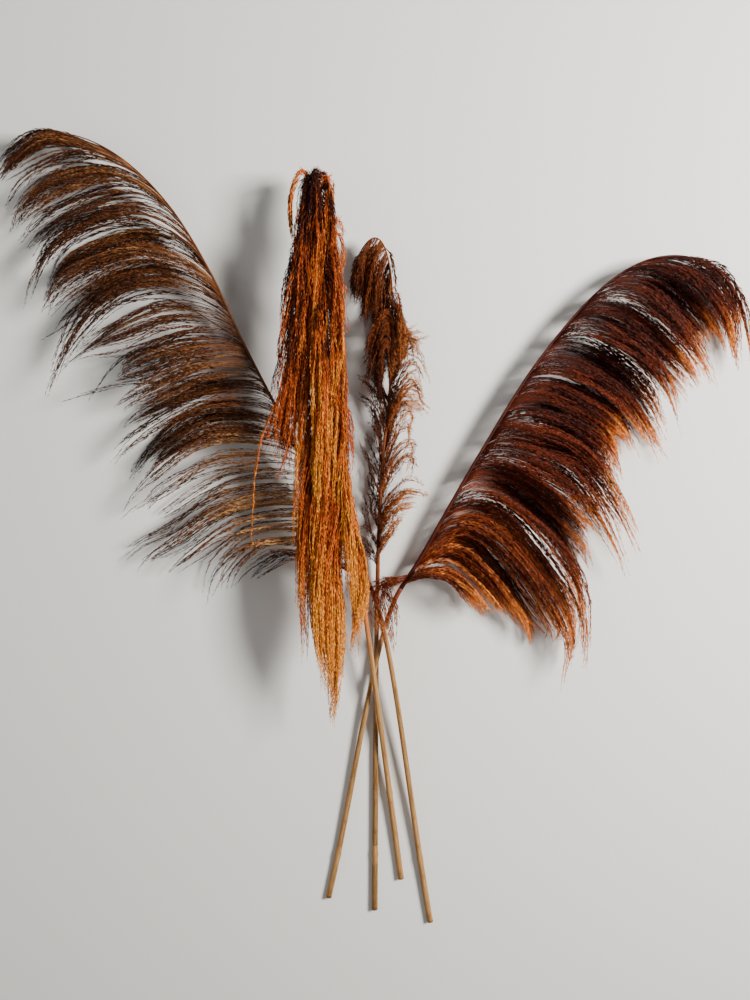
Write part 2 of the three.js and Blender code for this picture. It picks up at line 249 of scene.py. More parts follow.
RIGHT = dict(
    name="right",
    seed=27,
    butt=(-0.080, -0.500),
    node=0.070,
    rachis=[(0.028, -0.015, 0.024), (0.057, 0.033, 0.030), (0.091, 0.097, 0.036),
            (0.141, 0.187, 0.040), (0.208, 0.298, 0.041), (0.282, 0.390, 0.042),
            (0.345, 0.438, 0.042), (0.405, 0.450, 0.040), (0.455, 0.432, 0.036),
            (0.485, 0.400, 0.030)],
    # Its light tips paint the sun on them and its dark roots the shade inside the plume.
    falls=[dict(
        start=0.00, stop=0.82, strands=2, floor=0.0025, roof=0.076,
        lean=0.65, droop=0.45, branches=45, bundle=0.001,
        warmth=(0.15, 0.97, 0.34, 0.05, 0.04),
        density=(0.8, 0.7, 0.9, 1.15, 1.25, 1.05, 0.85, 0.85),
        crest=[(0.080, 0.011), (0.158, 0.079), (0.190, 0.158), (0.229, 0.253), (0.283, 0.329),
               (0.352, 0.407), (0.446, 0.438)],
        bend=[(0.121, -0.017), (0.265, -0.061), (0.274, 0.100), (0.308, 0.211), (0.362, 0.275),
              (0.426, 0.352), (0.489, 0.386)],
        tips=[(0.143, -0.056), (0.176, -0.053), (0.213, -0.104), (0.244, -0.092), (0.259, -0.168),
              (0.288, -0.062), (0.291, -0.135), (0.298, 0.011), (0.307, 0.055), (0.355, -0.017),
              (0.370, 0.025), (0.338, 0.128), (0.335, 0.153), (0.356, 0.177), (0.394, 0.142),
              (0.413, 0.148), (0.398, 0.209), (0.420, 0.188), (0.441, 0.257), (0.455, 0.266),
              (0.462, 0.277), (0.455, 0.332), (0.482, 0.320), (0.496, 0.284), (0.503, 0.309)],
    )],
    stray=dict(height=0.052, branches=12, bundle=0.0034, warmth=(0.5, 0.8, 0, 0, 0)),
    strays=[
        dict(along=0.03, places=[(0.002, -0.004), (0.007, -0.037), (0.023, -0.115)]),
        dict(along=0.03, places=[(-0.006, -0.007), (-0.008, -0.037), (0.006, -0.089)]),
        dict(along=0.03, places=[(0.010, -0.005), (0.019, -0.028), (0.023, -0.068)]),
    ],
    axis_warmth=0.08, chance_spread=0.65, paling=(0.5, 0.92),
    scatter=(0.006, 0.009, 0.005),
    **LONG_PLUME,
    dyes=("#300802", "#70290c", "#ff9640"),
)

FRONT = dict(
    name="front",
    seed=37,
    butt=(0.030, -0.470),
    node=0.140,
    rachis=[(-0.028, -0.010, 0.054), (-0.036, 0.055, 0.072), (-0.042, 0.120, 0.084),
            (-0.058, 0.215, 0.088), (-0.071, 0.322, 0.084), (-0.081, 0.420, 0.070),
            (-0.088, 0.500, 0.056), (-0.093, 0.548, 0.046)],
    # The losses at the tops of these falls paint the shade over the plume's upper part, and the
    # gains at the foot the sunlight on its lower part.
    falls=[dict(
        start=0.68, stop=0.89, strands=2, floor=0.084, roof=0.112, nest=0.5,
        lean=0.6, branches=30, bundle=0.0012,
        warmth=(0.06, 0.22, 0, 0, 0.05),
        crest=[(-0.105, 0.322), (-0.106, 0.379), (-0.106, 0.461)],
        bend=[(-0.122, 0.230), (-0.132, 0.263), (-0.117, 0.398)],
        tips=[(-0.125, 0.143), (-0.142, 0.160), (-0.163, 0.179), (-0.133, 0.276), (-0.131, 0.332)],
    ), dict(
        start=0.37, stop=1.00, strands=1, floor=0.086, roof=0.122, nest=0.55,
        lean=0.75, nod=0.045, branches=63, bundle=0.0012,
        warmth=(0.18, 0.62, 0.1, 0.1, -0.2),
        density=(1.4, 1.1, 1, 1),
        crest=[(-0.089, 0.154), (-0.093, 0.257), (-0.099, 0.430), (-0.099, 0.543)],
        bend=[(-0.106, 0.043), (-0.107, 0.164), (-0.104, 0.334), (-0.102, 0.461)],
        tips=[(-0.108, -0.118), (-0.111, -0.022), (-0.117, 0.051), (-0.109, 0.143),
              (-0.108, 0.230), (-0.107, 0.302), (-0.104, 0.361)],
    ), dict(
        start=0.20, stop=1.00, strands=2, floor=0.09, roof=0.13, nest=0.6,
        lean=0.75, nod=0.05, branches=45, bundle=0.0012,
        warmth=(0.38, 0.95, 0.1, 0.1, -0.38),
        density=(1.7, 1.25, 1, 0.95, 1),
        crest=[(-0.061, 0.070), (-0.078, 0.117), (-0.078, 0.257), (-0.081, 0.386),
               (-0.088, 0.546)],
        bend=[(-0.063, -0.068), (-0.088, -0.012), (-0.081, 0.158), (-0.082, 0.289),
              (-0.087, 0.449)],
        tips=[(-0.071, -0.207), (-0.069, -0.144), (-0.080, -0.156), (-0.085, -0.018),
              (-0.086, 0.040), (-0.088, 0.122), (-0.085, 0.183), (-0.087, 0.269), (-0.089, 0.348)],
    ), dict(
        start=0.13, stop=1.00, strands=1, floor=0.088, roof=0.126, nest=0.55,
        lean=0.75, nod=0.045, branches=63, bundle=0.0012,
        warmth=(0.38, 0.93, 0.08, 0.1, -0.38),
        density=(1.6, 1.25, 1, 0.95, 1),
        crest=[(-0.035, 0.040), (-0.043, 0.104), (-0.053, 0.191), (-0.058, 0.334), (-0.066, 0.449),
               (-0.077, 0.544)],
        bend=[(-0.030, -0.009), (-0.035, 0.036), (-0.052, 0.117), (-0.058, 0.250), (-0.059, 0.366),
              (-0.071, 0.474)],
        tips=[(-0.022, -0.060), (-0.041, -0.112), (-0.040, -0.053), (-0.051, -0.015),
              (-0.060, 0.020), (-0.064, 0.079), (-0.058, 0.147), (-0.059, 0.214), (-0.060, 0.276),
              (-0.062, 0.332), (-0.071, 0.394)],
    )],
    stray=dict(height=0.078, branches=9, bundle=0.0014, warmth=(0.42, 0.6, 0, 0, -0.05)),
    strays=[
        dict(along=1.00, branches=18,
             places=[(-0.108, 0.553), (-0.121, 0.504), (-0.114, 0.456)]),
        dict(along=0.95, places=[(-0.072, 0.547), (-0.065, 0.523), (-0.068, 0.495)]),
        dict(along=0.84, places=[(-0.062, 0.490), (-0.055, 0.485), (-0.051, 0.471)]),
        dict(along=0.83, places=[(-0.060, 0.476), (-0.051, 0.449), (-0.055, 0.417)]),
        dict(along=0.74, places=[(-0.060, 0.387), (-0.054, 0.377), (-0.051, 0.351)]),
        dict(along=0.49, places=[(-0.048, 0.244), (-0.042, 0.220), (-0.035, 0.144)]),
        dict(along=0.61, height=0.096, branches=3, bundle=0.0012,
             places=[(-0.133, 0.262), (-0.166, 0.184), (-0.180, 0.038)]),
    ],
    axis_warmth=0.4, chance_spread=1.0, paling=(0.2, 0.85),
    scatter=(0.008, 0.013, 0.009),
    bare=(0.03, 0.12), wave=0.001, wavelength=0.055,
    spikelet=0.0102, spacing=0.0040, opening=(3, 13), plump=(0.06, 0.085),
    dyes=("#380f04", "#c85b1e", "#ffab40"),
)

BACK = dict(
    name="back",
    seed=53,
    butt=(-0.010, -0.520),
    node=0.090,
    rachis=[(-0.006, -0.020, 0.012), (-0.004, 0.065, 0.019), (0.002, 0.175, 0.030),
            (0.010, 0.253, 0.033), (0.014, 0.352, 0.035), (0.013, 0.420, 0.036),
            (0.003, 0.463, 0.036), (-0.012, 0.474, 0.034), (-0.030, 0.455, 0.030),
            (-0.040, 0.420, 0.026)],
    falls=[dict(
        start=0.06, stop=0.47, strands=2, floor=0.006, roof=0.05,
        lean=0.6, branches=9, bundle=0.0012,
        warmth=(0.1, 0.08, 0, 0, 0),
        crest=[(-0.017, 0.038), (-0.008, 0.114), (-0.006, 0.226), (-0.002, 0.279)],
        bend=[(-0.027, 0.052), (-0.013, 0.135), (-0.020, 0.252), (-0.010, 0.300)],
        tips=[(-0.039, 0.064), (-0.032, 0.135), (-0.018, 0.159), (-0.038, 0.216), (-0.046, 0.270),
              (-0.036, 0.290), (-0.022, 0.317)],
    ), dict(
        start=0.60, stop=0.69, strands=2, floor=0.01, roof=0.062,
        branches=24, bundle=0.0014,
        warmth=(0.3, 0.2, 0, 0, 0),
        crest=[(0.001, 0.320), (0.000, 0.371)],
        bend=[(-0.003, 0.284), (-0.013, 0.339)],
        tips=[(-0.006, 0.233), (-0.021, 0.270), (-0.024, 0.292)],
    ), dict(
        start=0.78, stop=0.94, strands=2, floor=0.009, roof=0.066,
        branches=36, bundle=0.0016,
        warmth=(0.36, 0.34, 0, 0, 0),
        crest=[(0.011, 0.390), (-0.006, 0.427), (-0.023, 0.443), (-0.034, 0.435)],
        bend=[(0.011, 0.329), (-0.008, 0.370), (-0.023, 0.403), (-0.036, 0.415)],
        tips=[(0.010, 0.265), (0.003, 0.285), (-0.011, 0.311), (-0.025, 0.344), (-0.026, 0.366),
              (-0.032, 0.385), (-0.037, 0.391)],
    ), dict(
        start=0.08, stop=0.74, strands=2, floor=0.006, roof=0.06,
        lean=0.75, droop=0.5, branches=15, bundle=0.0014,
        warmth=(0.4, 0.78, 0, 0, 0),
        crest=[(0.002, 0.050), (0.018, 0.127), (0.022, 0.226), (0.028, 0.270), (0.030, 0.330),
               (0.024, 0.368), (0.020, 0.390)],
        bend=[(0.013, 0.065), (0.043, 0.139), (0.040, 0.237), (0.047, 0.273), (0.047, 0.336),
              (0.031, 0.343), (0.025, 0.343)],
        tips=[(0.030, 0.077), (0.058, 0.104), (0.076, 0.108), (0.034, 0.142), (0.040, 0.190),
              (0.069, 0.232), (0.058, 0.239), (0.062, 0.274), (0.064, 0.337), (0.044, 0.303),
              (0.033, 0.292), (0.041, 0.348), (0.026, 0.287)],
    )],
    stray=dict(height=0.034, branches=6, bundle=0.001, warmth=(0.2, 0.2, 0, 0, 0)),
    strays=[
        dict(along=0.86, places=[(0.012, 0.451), (0.017, 0.425), (0.019, 0.398)]),
    ],
    axis_warmth=0.3, chance_spread=0.7, paling=(0.25, 0.95),
    scatter=(0.005, 0.006, 0.007),
    bare=(0.08, 0.24), wave=0.0012, wavelength=0.045,
    spikelet=0.0084, spacing=0.0036, opening=(8, 26), plump=(0.075, 0.105),
    dyes=("#361204", "#7c3c16", "#dc8c40"),
)

FLAT = np.array([1.0, 1.0, 0.0])
UP = np.array([0.0, 0.0, 1.0])
DOWN_THE_PLUME = np.array([0.0, -1.0, 0.0])


# ---- Lines -----------------------------------------------


def lerp(low, high, share):
    return low + (high - low) * share


def length_of(vectors):
    return np.linalg.norm(vectors, axis=-1, keepdims=True)


def unit(vectors):
    return vectors / np.maximum(length_of(vectors), 1e-9)


def turned(vectors, heading, share):
    """The vectors turned towards a heading by a share, and as long as before."""
    return unit(lerp(unit(vectors), heading, share)) * length_of(vectors)


def smooth_step(low, high, value):
    share = np.clip((value - low) / (high - low), 0, 1)
    return share * share * (3 - 2 * share)


def through(knots, turn, leaving=None, arriving=None):
    """Points of smooth lines through rows of knots (..., knots, axes), at shares (..., points)."""
    knots = np.asarray(knots, float)
    if leaving is None:
        leaving = knots[..., 1:2, :] - knots[..., :1, :]
    if arriving is None:
        arriving = knots[..., -1:, :] - knots[..., -2:-1, :]
    first = knots[..., 1:2, :] - 2 * leaving
    last = knots[..., -2:-1, :] + 2 * arriving
    padded = np.concatenate([first, knots, last], axis=-2)
    spans = knots.shape[-2] - 1
    place = np.clip(turn, 0, 1) * spans
    span = np.minimum(place.astype(int), spans - 1)
    t = (place - span)[..., None]
    found = [np.take_along_axis(padded, (span + i)[..., None], axis=-2) for i in range(4)]
    before, start, end, after = found
    go, come = (end - before) / 2, (after - start) / 2
    square = 3 * (end - start) - 2 * go - come
    cube = 2 * (start - end) + go + come
    return start + go * t + square * t**2 + cube * t**3


class Line:
    """A smooth line through knots, measured along its own length."""

    STEPS = 200
    NUDGE = 1e-4

    def __init__(self, knots):
        self.knots = np.array(knots, float)
        self.steps = np.linspace(0, 1, self.STEPS + 1)
        lengths = length_of(np.diff(through(self.knots, self.steps), axis=0))[:, 0]
        self.reached = np.concatenate([[0], np.cumsum(lengths)])
        self.length = self.reached[-1]

    def turn_at(self, share):
        return np.interp(np.asarray(share) * self.length, self.reached, self.steps)

    def along(self, share):
        """Points at shares of the length."""
        return through(self.knots, self.turn_at(share))

    def heading(self, share):
        turn = self.turn_at(share)
        ahead = through(self.knots, np.minimum(turn + self.NUDGE, 1))
        return unit(ahead - through(self.knots, np.maximum(turn - self.NUDGE, 0)))


def bezier(controls, share):
    """Points of cubic curves, for control points (..., 4, 3) and shares (..., rings)."""
    a, b, c, d = (controls[..., i, None, :] for i in range(4))
    t = share[..., None]
    return a * (1 - t) ** 3 + 3 * b * t * (1 - t) ** 2 + 3 * c * t**2 * (1 - t) + d * t**3


def evened(lines, rings):
    """The same lines with a given number of evenly spaced rings."""
    steps = length_of(np.diff(lines, axis=1))[..., 0]
    reached = np.concatenate([np.zeros((len(lines), 1)), np.cumsum(steps, axis=1)], axis=1)
    reached /= reached[:, -1:]
    shares = np.linspace(0, 1, rings)
    columns = [
        [np.interp(shares, reach, line[:, axis]) for axis in range(3)]
        for reach, line in zip(reached, lines)
    ]
    return np.array(columns).transpose(0, 2, 1)


def headings_of(lines):
    return unit(np.gradient(lines, axis=-2))


def cross_frame(ahead):
    """Two directions square to a heading and to each other: one level, one upwards."""
    aside = unit(np.cross(UP, ahead))
    return aside, np.cross(ahead, aside)


def seeded_stream(seed):
    """The part's own repeatable stream of numbers between 0 and 1."""
    multiplier, modulus = 16807, 2147483647
    state = seed
    while True:
        state = state * multiplier % modulus
        yield state / modulus


# ---- Meshes ----------------------------------------------


def taken_shape(thing):
    """The points and triangles of a modelled unit shape, whose object is then removed."""
    bpy.ops.object.mode_set(mode="EDIT")
    bpy.ops.mesh.select_all(action="SELECT")
    bpy.ops.mesh.quads_convert_to_tris()
    bpy.ops.mesh.normals_make_consistent(inside=False)
    bpy.ops.object.mode_set(mode="OBJECT")
    mesh = thing.data
    points = np.array([vertex.co[:] for vertex in mesh.vertices])
    faces = np.array([face.vertices[:] for face in mesh.polygons])
    bpy.data.objects.remove(thing)
    return SimpleNamespace(points=points, faces=faces)


def extruded_rod(sides, rings):
    """A ringed rod along Z, one unit long and wide, in edit mode with its far end selected."""
    bpy.ops.mesh.primitive_circle_add(vertices=sides, radius=1, fill_type="NGON")
    bpy.ops.object.mode_set(mode="EDIT")
    for _ in range(rings):
        bpy.ops.mesh.extrude_region_move(TRANSFORM_OT_translate={"value": (0, 0, 1 / rings)})


def model_fibre():
    """A straight fibre, one unit long and wide, ringed so that it can bend, and pointed."""
    extruded_rod(FIBRE_SIDES, FIBRE_RINGS - 1)
    bpy.ops.mesh.merge(type="CENTER")
    bpy.ops.object.mode_set(mode="OBJECT")
    return taken_shape(bpy.context.object)


def model_spikelet():
    """A slim closed spikelet, one unit long: a point at each end and two corners between them."""
    bpy.ops.mesh.primitive_cone_add(vertices=3, radius1=1, depth=1, location=(0, 0, 0.5))
    spikelet = bpy.context.object
    bpy.ops.object.transform_apply(location=True)
    # The cone's tip stays, one corner of its base becomes the root, and the others move up.
    for vertex in spikelet.data.vertices:
        if vertex.co.z > 0.5:
            continue
        if vertex.co.y > 0.5:
            vertex.co = (0, 0, 0)
        else:
            vertex.co.z = SPIKELET_WIDEST
    return taken_shape(spikelet)


def add_marks(mesh, marks):
    """Gives the points of a mesh float attributes."""
    for mark, values in marks.items():
        layer = mesh.attributes.new(mark, "FLOAT", "POINT")
        layer.data.foreach_set("value", values.astype(np.float32).ravel())


def mesh_object(name, points, faces, marks):
    """A piece from an array of points, one of triangles, and its marks."""
    mesh = bpy.data.meshes.new(name)
    mesh.vertices.add(len(points))
    mesh.vertices.foreach_set("co", points.astype(np.float32).ravel())
    mesh.loops.add(faces.size)
    mesh.loops.foreach_set("vertex_index", faces.astype(np.int32).ravel())
    mesh.polygons.add(len(faces))
    mesh.polygons.foreach_set("loop_start", np.arange(0, faces.size, 3, dtype=np.int32))
    mesh.update(calc_edges=True)
    add_marks(mesh, marks)
    thing = bpy.data.objects.new(name, mesh)
    bpy.context.collection.objects.link(thing)
    return thing


def copies(shape, points):
    """One array of triangles for many copies of a unit shape, whose points are given by copy."""
    count = len(points)
    shift = np.arange(count)[:, None, None] * len(shape.points)
    return points.reshape(-1, 3), (shape.faces[None] + shift).reshape(-1, 3)


def bent_fibres(shape, lines, radii):
    """Copies of the unit fibre, each bent along its own line."""
    ring = np.rint(shape.points[:, 2] * (FIBRE_RINGS - 1)).astype(int)
    aside, upward = cross_frame(headings_of(lines))
    x, y = shape.points[:, 0, None], shape.points[:, 1, None]
    out = aside[:, ring] * x + upward[:, ring] * y
    return lines[:, ring] + out * radii[:, ring, None], ring


def bend_piece(thing, line, radius_at):
    """Bends a rod along a line, straight on past its end, and keeps its unrolled places."""
    mesh = thing.data
    points = np.array([vertex.co[:] for vertex in mesh.vertices])
    share = np.clip(points[:, 2], 0, 1)
    beyond = (points[:, 2] - share)[:, None] * line.length
    ahead = line.heading(share)
    aside, upward = cross_frame(ahead)
    out = aside * points[:, 0, None] + upward * points[:, 1, None]
    placed = line.along(share) + ahead * beyond + out * radius_at(share)[:, None]
    placed[:, 2] = np.maximum(placed[:, 2], 0)
    straight = mesh.attributes.new("straight", "FLOAT_VECTOR", "POINT")
    unrolled = points * np.array([1, 1, line.length])
    straight.data.foreach_set("vector", unrolled.astype(np.float32).ravel())
    mesh.vertices.foreach_set("co", placed.astype(np.float32).ravel())
    mesh.update()


# ---- Materials -------------------------------------------


def linear(hex_colour):
    """A colour such as '#a0b0c0' as Blender's linear values, by the sRGB rule."""
    values = [int(hex_colour[i : i + 2], 16) / 255 for i in (1, 3, 5)]
    return (*[v / 12.92 if v < 0.04045 else ((v + 0.055) / 1.055) ** 2.4 for v in values], 1.0)


def feed(tree, sockets, values):
    """Sets each named socket to a constant, or links another node's output to it."""
    for name, value in values.items():
        if isinstance(value, bpy.types.NodeSocket):
            tree.links.new(value, sockets[name])
        else:
            sockets[name].default_value = value


def add_node(tree, kind, values=None, **settings):
    node = tree.nodes.new(kind)
    for name, value in settings.items():
        setattr(node, name, value)
    feed(tree, node.inputs, values or {})
    return node


def surface_group(name, inputs):
    """An empty node group that makes a surface, with what it is given and what it puts out."""
    group = bpy.data.node_groups.new(name, "ShaderNodeTree")
    outputs = {"Color": "Color", "Roughness": "Float", "Height": "Float"}
    for in_out, sockets in (("INPUT", inputs), ("OUTPUT", outputs)):
        for socket, kind in sockets.items():
            group.interface.new_socket(socket, in_out=in_out, socket_type=f"NodeSocket{kind}")
    given, result = group.nodes.new("NodeGroupInput"), group.nodes.new("NodeGroupOutput")
    return group, given.outputs, result.inputs


def maths(tree, operation, *values, clamp=False):
    values = dict(enumerate(values))
    node = add_node(tree, "ShaderNodeMath", values, operation=operation, use_clamp=clamp)
    return node.outputs[0]


def swayed(tree, value, reach):
    """How far a value from 0 to 1 lies from its middle, times a reach."""
    return maths(tree, "MULTIPLY", maths(tree, "SUBTRACT", value, 0.5), reach)


def mixed(tree, share, first, second):
    """Two colours, which are a Mix node's sockets 6 and 7, mixed by a share."""
    values = {0: share, 6: first, 7: second}
    return add_node(tree, "ShaderNodeMix", values, data_type="RGBA").outputs[2]


def ranged(tree, value, low, high):
    """A value's place between two limits, from 0 to 1."""
    values = {"Value": value, "From Min": low, "From Max": high}
    node = add_node(tree, "ShaderNodeMapRange", values, interpolation_type="SMOOTHSTEP")
    return node.outputs["Result"]


def noise(tree, vector, scale, detail=2.0):
    values = {"Vector": vector, "Scale": scale, "Detail": detail, "Roughness": NOISE_ROUGHNESS}
    return add_node(tree, "ShaderNodeTexNoise", values).outputs["Fac"]


def stretched(tree, vector, scales):
    values = {"Vector": vector, "Scale": scales}
    return add_node(tree, "ShaderNodeMapping", values).outputs["Vector"]


def dye_and_painted_light_group():
    """Turns warmth, partly dye and partly painted light and shade, into a colour between three
    dyes, broken up by mottling.
    """
    tree, given, result = surface_group("three_dyes_with_painted_light", {
        "Deep": "Color", "Body": "Color", "Bright": "Color",
        "Warmth": "Float", "Chance": "Float", "Place": "Vector",
        "Chance Spread": "Float", "Mottling": "Float",
    })
    blotches = noise(tree, given["Place"], BLOTCH_SCALE)
    flecks = noise(tree, given["Place"], FLECK_SCALE)
    by_chance = swayed(tree, given["Chance"], given["Chance Spread"])
    by_noise = swayed(tree, blotches, given["Mottling"])
    warmth = maths(tree, "ADD", given["Warmth"], by_chance)
    warmth = maths(tree, "ADD", warmth, by_noise, clamp=True)
    lower = mixed(tree, ranged(tree, warmth, *DEEP_TO_BODY), given["Deep"], given["Body"])
    colour = mixed(tree, ranged(tree, warmth, *BODY_TO_BRIGHT), lower, given["Bright"])
    roughness = maths(tree, "MULTIPLY_ADD", flecks, *PLUME_ROUGHNESS)
    feed(tree, result, {"Color": colour, "Roughness": roughness, "Height": flecks})
    return tree


def culm_group():
    """Ribbed, mottled straw: long streaks that follow the culm, from its unrolled place."""
    tree, given, result = surface_group("culm_straw", {
        "Pale": "Color", "Dark": "Color", "Dye": "Color", "Straight": "Vector",
        "Dyed From": "Float", "Dyed To": "Float",
    })
    straight = given["Straight"]
    ribs = noise(tree, stretched(tree, straight, RIB_STRETCH), RIB_SCALE, detail=3.0)
    stains = noise(tree, stretched(tree, straight, STAIN_STRETCH), STAIN_SCALE)
    straw = mixed(tree, ranged(tree, ribs, *RIBS_DARKEN), given["Pale"], given["Dark"])
    weathered = mixed(tree, ranged(tree, stains, *STAINS_DARKEN), straw, given["Dark"])
    apart = add_node(tree, "ShaderNodeSeparateXYZ", {"Vector": straight})
    near_plume = ranged(tree, apart.outputs["Z"], given["Dyed From"], given["Dyed To"])
    colour = mixed(tree, near_plume, weathered, given["Dye"])
    roughness = maths(tree, "MULTIPLY_ADD", stains, *CULM_ROUGHNESS)
    feed(tree, result, {"Color": colour, "Roughness": roughness, "Height": ribs})
    return tree


def new_material(name):
    """A material, its node tree and its shader."""
    material = bpy.data.materials.new(name)
    material.use_nodes = True
    return material, material.node_tree, material.node_tree.nodes["Principled BSDF"]


def read_mark(tree, name, output="Fac"):
    return add_node(tree, "ShaderNodeAttribute", attribute_name=name).outputs[output]


def dress(tree, shader, group, values, bumps, shine):
    """Takes a shader's colour, roughness and bumps from a node group."""
    surface = add_node(tree, "ShaderNodeGroup", values, node_tree=group)
    heights = {"Height": surface.outputs["Height"], "Strength": bumps, "Distance": BUMP_DISTANCE}
    bump = add_node(tree, "ShaderNodeBump", heights)
    feed(tree, shader.inputs, {
        "Base Color": surface.outputs["Color"],
        "Roughness": surface.outputs["Roughness"],
        "Normal": bump.outputs["Normal"],
        "Specular IOR Level": shine,
    })


def plume_material(grass, group):
    material, tree, shader = new_material(f"dyed_plume_{grass.name}")
    # A plume's three dyes are partly its own dye and partly painted light: brighter for a plume
    # that stood in sun, darker for one in shade. Its warmth mark carries painted light and shade
    # along the branches.
    deep, body, bright = (linear(dye) for dye in grass.dyes)
    values = {
        "Deep": deep,
        "Body": body,
        "Bright": bright,
        "Warmth": read_mark(tree, "warmth"),
        "Chance": read_mark(tree, "chance"),
        "Place": add_node(tree, "ShaderNodeTexCoord").outputs["Object"],
        "Chance Spread": grass.chance_spread,
        "Mottling": MOTTLING,
    }
    dress(tree, shader, group, values, bumps=0.3, shine=0.2)
    return material


def culm_material(grass, length, group):
    material, tree, shader = new_material(f"culm_{grass.name}")
    values = {
        "Pale": linear(PALE_STRAW),
        "Dark": linear(DARK_STRAW),
        # The culm's dyed end takes the plume's body dye, which is partly painted light.
        "Dye": linear(grass.dyes[1]),
        "Straight": read_mark(tree, "straight", "Vector"),
        "Dyed From": length * DYED_FROM,
        "Dyed To": length,
    }
    dress(tree, shader, group, values, bumps=0.5, shine=0.4)
    return material


def floor_material():
    material, tree, shader = new_material("pale_floor")
    feed(tree, shader.inputs, {"Base Color": linear(FLOOR_GREY), "Roughness": 0.8})
    return material


# ---- Stems -----------------------------------------------


def ringed_rod(name, sides, rings):
    """A straight rod along Z, one unit long and wide, closed at both ends and ringed."""
    extruded_rod(sides, rings)
    bpy.ops.mesh.select_all(action="SELECT")
    bpy.ops.mesh.normals_make_consistent(inside=False)
    bpy.ops.object.mode_set(mode="OBJECT")
    rod = bpy.context.object
    rod.name = name
    return rod


def stem_line(grass):
    """From the cut butt on the floor up to the foot of the plume."""
    top, above = (np.array(point) for point in grass.rachis[:2])
    heading = unit(above - top)
    butt = np.array([*grass.butt, STEM_BUTT_RADIUS])
    length = float(length_of(top - butt)[0])
    along = unit((top - butt) * FLAT)
    controls = np.array([
        butt,
        butt + along * length * BUTT_REACH,
        top - heading * length * NECK_REACH,
        top,
    ])
    return Line(bezier(controls, np.linspace(0, 1, STEM_LINE_KNOTS)) - BOX_CENTRE)


def stem_radius(grass, line):
    """The culm's radius at shares of its length, with its swollen node and the scar on it."""

    def radius_at(share):
        plain = lerp(STEM_BUTT_RADIUS, STEM_TOP_RADIUS, share)
        off = (share * line.length - grass.node) / STEM_NODE_LENGTH
        swell = STEM_NODE_SWELL * np.exp(-STEM_SWELL_SHARPNESS * off**2)
        scar = STEM_SCAR_DEPTH * np.exp(-STEM_SCAR_SHARPNESS * (off - STEM_SCAR_PLACE) ** 2)
        return plain + swell - scar

    return radius_at


def double_skin():
    """Gives the rod just made a second skin, moved along it by SKIN_STEP.

    A known fault: it was to sink the pith into the cut end, which stays plain and flat.
    """
    bpy.ops.object.mode_set(mode="EDIT")
    bpy.ops.mesh.extrude_region_move(TRANSFORM_OT_translate={"value": (0, 0, SKIN_STEP)})
    bpy.ops.object.mode_set(mode="OBJECT")


def build_stem(grass, group):
    line = stem_line(grass)
    stem = ringed_rod(f"culm_{grass.name}", STEM_SIDES, STEM_RINGS)
    double_skin()
    bend_piece(stem, line, stem_radius(grass, line))
    stem.data.materials.append(culm_material(grass, line.length, group))
    stem.data.shade_smooth()
    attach(stem, "root")
    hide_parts(f"stem_{grass.name}")


# ---- Plumes ----------------------------------------------


def strands_of(grass):
    """The strands of a plume, with the same draws as in its solid."""
    stream = seeded_stream(grass.seed)
    strands = []
    for fall in grass.falls:
        last = len(fall.tips) - 1
        for lock in range(len(fall.tips)):
            for i in range(fall.strands):
                scatter = [(2 * next(stream) - 1) * reach for reach in TIP_SCATTER]
                next(stream)  # The part's draw for a strand's thickness.
                rank = (i + 0.5) / fall.strands - 0.5
                at, width = (lock + rank) / last, 1 / fall.strands / last
                tip_at = (lock + rank * TIP_DRAW) / last
                strands.append(SimpleNamespace(
                    fall=fall, at=at, tip_at=tip_at, width=width, scatter=scatter
                ))
    return strands


def in_wisps(draws, count, *shape):
    """Random numbers from -1 to 1 that the branches of a wisp nearly share."""
    wisp = np.arange(count) // WISP_BRANCHES
    shared = draws.uniform(-1, 1, (wisp[-1] + 1, *shape))[wisp]
    return lerp(shared, draws.uniform(-1, 1, (count, *shape)), WISP_LOOSENESS)


def near_rachis(along, count, draws):
    """Where branches leave the rachis, spread a little and kept off its ends."""
    along = along + in_wisps(draws, count) * ROOT_SPREAD
    return np.clip(along, ROOT_MARGIN, 1 - ROOT_MARGIN)


def knots_of_strand(grass, strand, line, draws):
    """The knots of a strand's branches, and how far along the rachis they leave it."""
    fall = strand.fall
    density = np.interp(strand.at, np.linspace(0, 1, len(fall.density)), fall.density)
    density = density * draws.uniform(*STRAND_FULLNESS)
    count = max(round(fall.branches * density / WISP_BRANCHES), 1) * WISP_BRANCHES
    aside = in_wisps(draws, count) * STRAND_OVERLAP * strand.width / 2
    at = np.clip(strand.at + aside, 0, 1)
    tip_at = np.clip(strand.tip_at + aside * TIP_DRAW, 0, 1)
    mixed_layer = draws.random() + in_wisps(draws, count) * LAYER_SPREAD
    layer = np.clip(lerp(mixed_layer, at, fall.nest), 0, 1)
    middle = lerp(fall.floor, fall.roof, layer)
    end = lerp(fall.floor, fall.roof, TIP_SAG * layer)
    nod = fall.nod * smooth_step(NOD_START, 1.0, at)
    heights = (middle - nod, (middle + end) / 2 - nod * NOD_AT_BEND, end)
    scatter = np.array(strand.scatter)
    flat = [
        through(fall.crest, at),
        through(fall.bend, at) + scatter / 2,
        through(fall.tips, tip_at) + scatter,
    ]
    flat = [
        points + in_wisps(draws, count, 2) * reach for points, reach in zip(flat, grass.scatter)
    ]
    heights = [
        height + in_wisps(draws, count) * reach * RUFFLE
        for height, reach in zip(heights, grass.scatter)
    ]
    outer = [np.column_stack([points, height]) for points, height in zip(flat, heights)]
    along = near_rachis(lerp(fall.start, fall.stop, at), count, draws)
    return np.stack([line.along(along), *outer], axis=1), along


def knots_of_stray(stray, line, draws):
    """The knots of a lone strand's branches, and how far along the rachis they leave it."""
    count = stray.branches
    along = near_rachis(stray.along, count, draws)
    places = np.tile(np.array(stray.places), (count, 1, 1))
    places = places + draws.normal(0, stray.bundle, places.shape)
    heights = np.full((count, 3, 1), stray.height)
    outer = np.concatenate([places, heights], axis=2)
    return np.concatenate([line.along(along)[:, None], outer], axis=1), along


